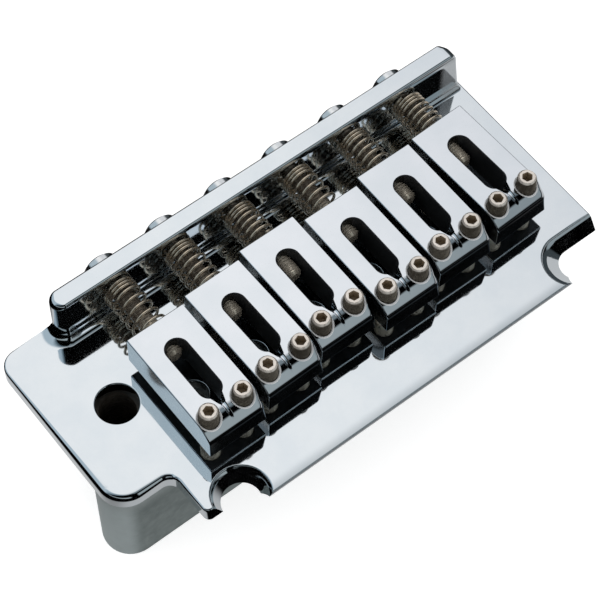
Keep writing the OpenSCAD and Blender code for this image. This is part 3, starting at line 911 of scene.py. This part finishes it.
shank_sizes = {"Length": shank_long - 0.1, "Radius": 1.45, "Depth": 0.11, "Rows": 280,
               "Socket depth": 0.0, "Top ring": 1.45, "Tip": 0.95}
lying = Matrix.Rotation(math.radians(-90), 4, "X")
for i, x in enumerate(strings):
    at_mm = Matrix.Translation((x, head_at - shank_long, screw_axis))
    shank_piece = evaluate(rod, "shank", shank_sizes, screw_nickel, scale_mm @ at_mm @ lying)
    head = pan_head(x)
    joined = bmesh.new()
    joined.from_mesh(head.data)
    joined.from_mesh(shank_piece.data)
    joined.to_mesh(head.data)
    joined.free()
    bpy.data.objects.remove(shank_piece)
    head.name = f"intonation_screw_{i + 1}_threaded"
    head.data.materials.clear()
    head.data.materials.append(screw_nickel)
    head.data.materials.append(head_nickel)
    for face in head.data.polygons:
        face.material_index = int(face.center.y / MM > rear)
    polish(head, 30)
    place(head, f"intonation_screw_{i + 1}", [f"intonation_screw_{i + 1}"])
print("intonation screw faces", len(head.data.polygons))

# %% [markdown]
# ## Springs
# A compression spring is one wire that winds round the screw. Its turns lie close at the flange and
# open out towards the saddle. A line of points is wound by that rule and given a round section.

# %% The spring tree
coil, g = geometry_tree("compression_spring", {"Length": 8.0, "Radius": 2.45, "Wire": 0.23,
                                               "Close turns": 3.0, "Open turns": 4.5, "Close pitch": 0.56,
                                               "Gap": 0.12, "Steps": 300})
line = coil.add("GeometryNodeMeshLine", {}, {"Count": g["Steps"] + 1})
turns = g["Close turns"] + g["Open turns"]
along = coil.add("GeometryNodeInputIndex") / g["Steps"] * turns
spread = (g["Length"] - g["Close turns"] * g["Close pitch"] - 2 * g["Wire"] - 2 * g["Gap"]) / g["Open turns"]
back = (g["Wire"] + g["Gap"] + along.math("MINIMUM", g["Close turns"]) * g["Close pitch"]
        + (along - g["Close turns"]).math("MAXIMUM", 0.0) * spread)
angle = along * (2 * math.pi)
spot = coil.add("ShaderNodeCombineXYZ", {}, [g["Radius"] * angle.math("COSINE"), 0 - back,
                                             g["Radius"] * angle.math("SINE")])
wound = coil.add("GeometryNodeSetPosition", {}, {"Geometry": line, "Position": spot})
path = coil.add("GeometryNodeMeshToCurve", {}, [wound])
round_wire = coil.add("GeometryNodeCurvePrimitiveCircle", {}, {"Resolution": 10, "Radius": g["Wire"]})
tube = coil.add("GeometryNodeCurveToMesh", {}, {"Curve": path, "Profile Curve": round_wire,
                                                "Fill Caps": True})
close_tree(coil, tube, g["Finish"])
print("coil nodes", len(coil.tree.nodes))

# %% Wind the six springs
for i, (x, y) in enumerate(zip(strings, noses)):
    long = flange_front - y - saddle_long
    at_mm = Matrix.Translation((x, flange_front, screw_axis)) @ Matrix.Rotation(math.radians(50 * i), 4, "Y")
    spring = evaluate(coil, f"spring_{i + 1}_wound", {"Length": long}, spring_wire, scale_mm @ at_mm)
    polish(spring, 60)
    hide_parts(f"spring_{i + 1}")
    f"saddle_{i + 1}"
    f"spring_{i + 1}"
    x * MM
    (y + saddle_long) * MM
    screw_axis * MM
    x * MM
    screw_axis * MM
    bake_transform(spring)
print("spring faces", len(spring.data.polygons))
print("spring lengths", [round(flange_front - y - saddle_long, 2) for y in noses])

# %% [markdown]
# ## The arm bush and the block screws
# The bush takes the arm's thread, so a threaded rod from the same tree is cut out of it. The block
# screws have the right shape already and only get their finish.

# %% Cut the arm's thread and paint the screws
bush_low, bush_high = box_mm("arm_bush")
print("bush", [round(v, 2) for v in bush_low + bush_high])
bush_long = bush_high[2] - bush_low[2]
bush_r = (bush_high[0] - bush_low[0]) / 2
bush = turned("arm_bush_threaded", [(bush_r, bush_low[2]), (bush_r, bush_high[2])], 64, (*arm_hole, 0))
tap = evaluate(rod, "tap", {"Length": bush_long + 2, "Radius": 2.95, "Depth": 0.3, "Pitch": 0.8, "Rows": 130,
                            "Socket depth": 0.0, "Top ring": 2.95, "Tip": 2.9, "Flats": 2.0}, bush_brass,
               scale_mm @ Matrix.Translation((*arm_hole, bush_low[2] - 1)))
bush.data.materials.append(bush_brass)
carve(bush, [tap])
polish(bush, 30)
place(bush, "bridge_base", ["arm_bush"])
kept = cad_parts["block_screws"]
kept.data.materials.clear()
kept.data.materials.append(screw_nickel)
print("bush faces", len(bush.data.polygons))

# %% [markdown]
# ## The studio
# A mirror shows the room, so a room is drawn into the world by direction: white above the rear, dull
# overhead, and black with a grey card low in front. Only mirror rays see it. The other rays see an
# even light, and the camera sees white.

# %% World
world = bpy.data.worlds.new("studio")
bpy.context.scene.world = world
world.use_nodes = True
sky = Tree(world.node_tree)
toward = sky.add("ShaderNodeSeparateXYZ", {}, [sky.add("ShaderNodeTexCoord", out="Generated")])
pitch = toward.other("Z").math("ARCTAN2", toward.other("Y")) / (2 * math.pi)
turn = pitch + (pitch < -0.25)
grey, teal, black, white = (0.34, 0.385, 0.395, 1), (0.2, 0.24, 0.26, 1), (0.0, 0.0, 0.0, 1), (1, 1, 1, 1)
blue = (0.46, 0.55, 0.61, 1)


def tone(degrees):
    """A place on the ramp: 0 is the rear horizon, 90 straight up and 180 the front horizon."""
    return (degrees + 90) / 360


ramp = sky.add("ShaderNodeValToRGB", {"stops": [
    (tone(-90), black), (tone(12), black), (tone(24), white), (tone(75), white), (tone(88), teal),
    (tone(98), teal), (tone(106), black), (tone(126), black), (tone(132), grey), (tone(170), grey),
    (tone(175), black), (tone(262), black)]}, [turn + 0.25])
across, deep, up = toward, toward.other("Y"), toward.other("Z")
rise = smooth(sky, up + across.math("MINIMUM", 0.0) * 0.45, 0.12, 0.22)
left_tint = mix_colour(sky, smooth(sky, across, -0.15, 0.1), blue, white)
room = mix_colour(sky, 1.0, ramp, left_tint, "MULTIPLY")
front_left = (1 - smooth(sky, across, 0.06, 0.1)) * (1 - smooth(sky, deep, -0.06, 0.0))
low_card = (smooth(sky, up, 0.3, 0.42) * (1 - smooth(sky, up, 0.62, 0.72))
            * (1 - smooth(sky, across, -0.3, -0.2)))
room = mix_colour(sky, front_left, room, mix_colour(sky, low_card, black, grey))
dimmed = mix_colour(sky, 1.0, room, (0.8, 0.81, 0.83, 1), "MULTIPLY")
room = mix_colour(sky, smooth(sky, across, 0.28, 0.5), room, dimmed)
room = mix_colour(sky, rise, black, room)
right_low = smooth(sky, across, 0.74, 0.84) * (1 - smooth(sky, up, 0.45, 0.55))
room = mix_colour(sky, right_low, room, (0.05, 0.06, 0.065, 1))
glossy_ray = sky.add("ShaderNodeLightPath", out="Is Glossy Ray")
camera_ray = glossy_ray.other("Is Camera Ray")
plain = mix_colour(sky, camera_ray, (0.8, 0.8, 0.8, 1), white)
shown = mix_colour(sky, glossy_ray, plain, room)
background = world.node_tree.nodes["Background"]
world.node_tree.links.new(shown.socket, background.inputs["Color"])
print("world nodes", len(world.node_tree.nodes))

# %% [markdown]
# The floor is white paper. For mirror rays it ends a little in front of the bridge, behind it and at
# its arm side, so the steep mirrors see paper and the flat ones see the dark room beyond it. The
# camera sees one white sheet, with the bridge's soft shadow on it.

# %% Floor
floor = make("floor", [(-600, -600, 0), (600, -600, 0), (600, 600, 0), (-600, 600, 0)], [(0, 1, 2, 3)])
floor_paper = bpy.data.materials.new("floor_paper")
floor_paper.use_nodes = True
paper = Tree(floor_paper.node_tree)
shader = floor_paper.node_tree.nodes["Principled BSDF"]
shader.inputs["Base Color"].default_value = (0.8, 0.8, 0.8, 1)
shader.inputs["Roughness"].default_value = 1.0
shader.inputs["Specular IOR Level"].default_value = 0.0
shader.inputs["Emission Color"].default_value = white
shader.inputs["Emission Strength"].default_value = 0.62
floor_x = paper.add("ShaderNodeSeparateXYZ", {}, [paper.add("ShaderNodeTexCoord", out="Object")])
floor_y = floor_x.other("Y")
sheet = smooth(paper, floor_y, -0.048, -0.012) * 0.5 + smooth(paper, floor_y, -0.01, 0.02) * 0.22
arm_front = (1 - smooth(paper, floor_x, -0.03, -0.022)) * (1 - smooth(paper, floor_y, -0.022, -0.018))
sheet = sheet * (1 - arm_front)
sheet = sheet * smooth(paper, floor_x, -0.065, -0.045) * (1 - smooth(paper, floor_y, 0.03, 0.04))
bass_card = smooth(paper, floor_x, 0.07, 0.11)
sheet = sheet + (0.6 - sheet) * bass_card * (1 - smooth(paper, floor_y, 0.022, 0.032))
mirrored = paper.add("ShaderNodeEmission", {}, {"Color": mix_colour(paper, sheet, black, white)})
glossy = paper.add("ShaderNodeLightPath", out="Is Glossy Ray")
both = paper.add("ShaderNodeMixShader", {}, [glossy, Wire(paper, shader.outputs[0]), mirrored])
floor_paper.node_tree.links.new(both.socket, floor_paper.node_tree.nodes["Material Output"].inputs["Surface"])
floor.data.materials.append(floor_paper)
print("floor nodes", len(floor_paper.node_tree.nodes))

# %% [markdown]
# ## The camera
# The camera's place was solved from the straight edges in the photo. It is a long lens that looks
# down steeply from the front, on the arm side.

# %% Camera
camera_data = bpy.data.cameras.new("camera")
camera = bpy.data.objects.new("camera", camera_data)
bpy.context.scene.collection.objects.link(camera)
bpy.context.scene.camera = camera
turn_deg, up_deg, roll_deg, distance = -39.227, 59.984, 1.366, 320.70
aim = Vector((-5.281, 4.184, 19.4))
around, above, roll = (math.radians(v) for v in (turn_deg, up_deg, roll_deg))
back_way = Vector((math.sin(around) * math.cos(above), -math.cos(around) * math.cos(above), math.sin(above)))
level_right = Vector((math.cos(around), math.sin(around), 0))
level_up = back_way.cross(level_right)
right_way = level_right * math.cos(roll) + level_up * math.sin(roll)
up_way = back_way.cross(right_way)
camera.matrix_world = Matrix.Translation((aim + back_way * distance) * MM) @ Matrix(
    (right_way, up_way, back_way)).transposed().to_4x4()
camera_data.lens = 130.09
camera_data.sensor_width = 36
camera_data.clip_start = 0.01
bpy.context.scene.view_settings.view_transform = "Standard"
print("camera at", [round(v / MM, 1) for v in camera.matrix_world.translation])
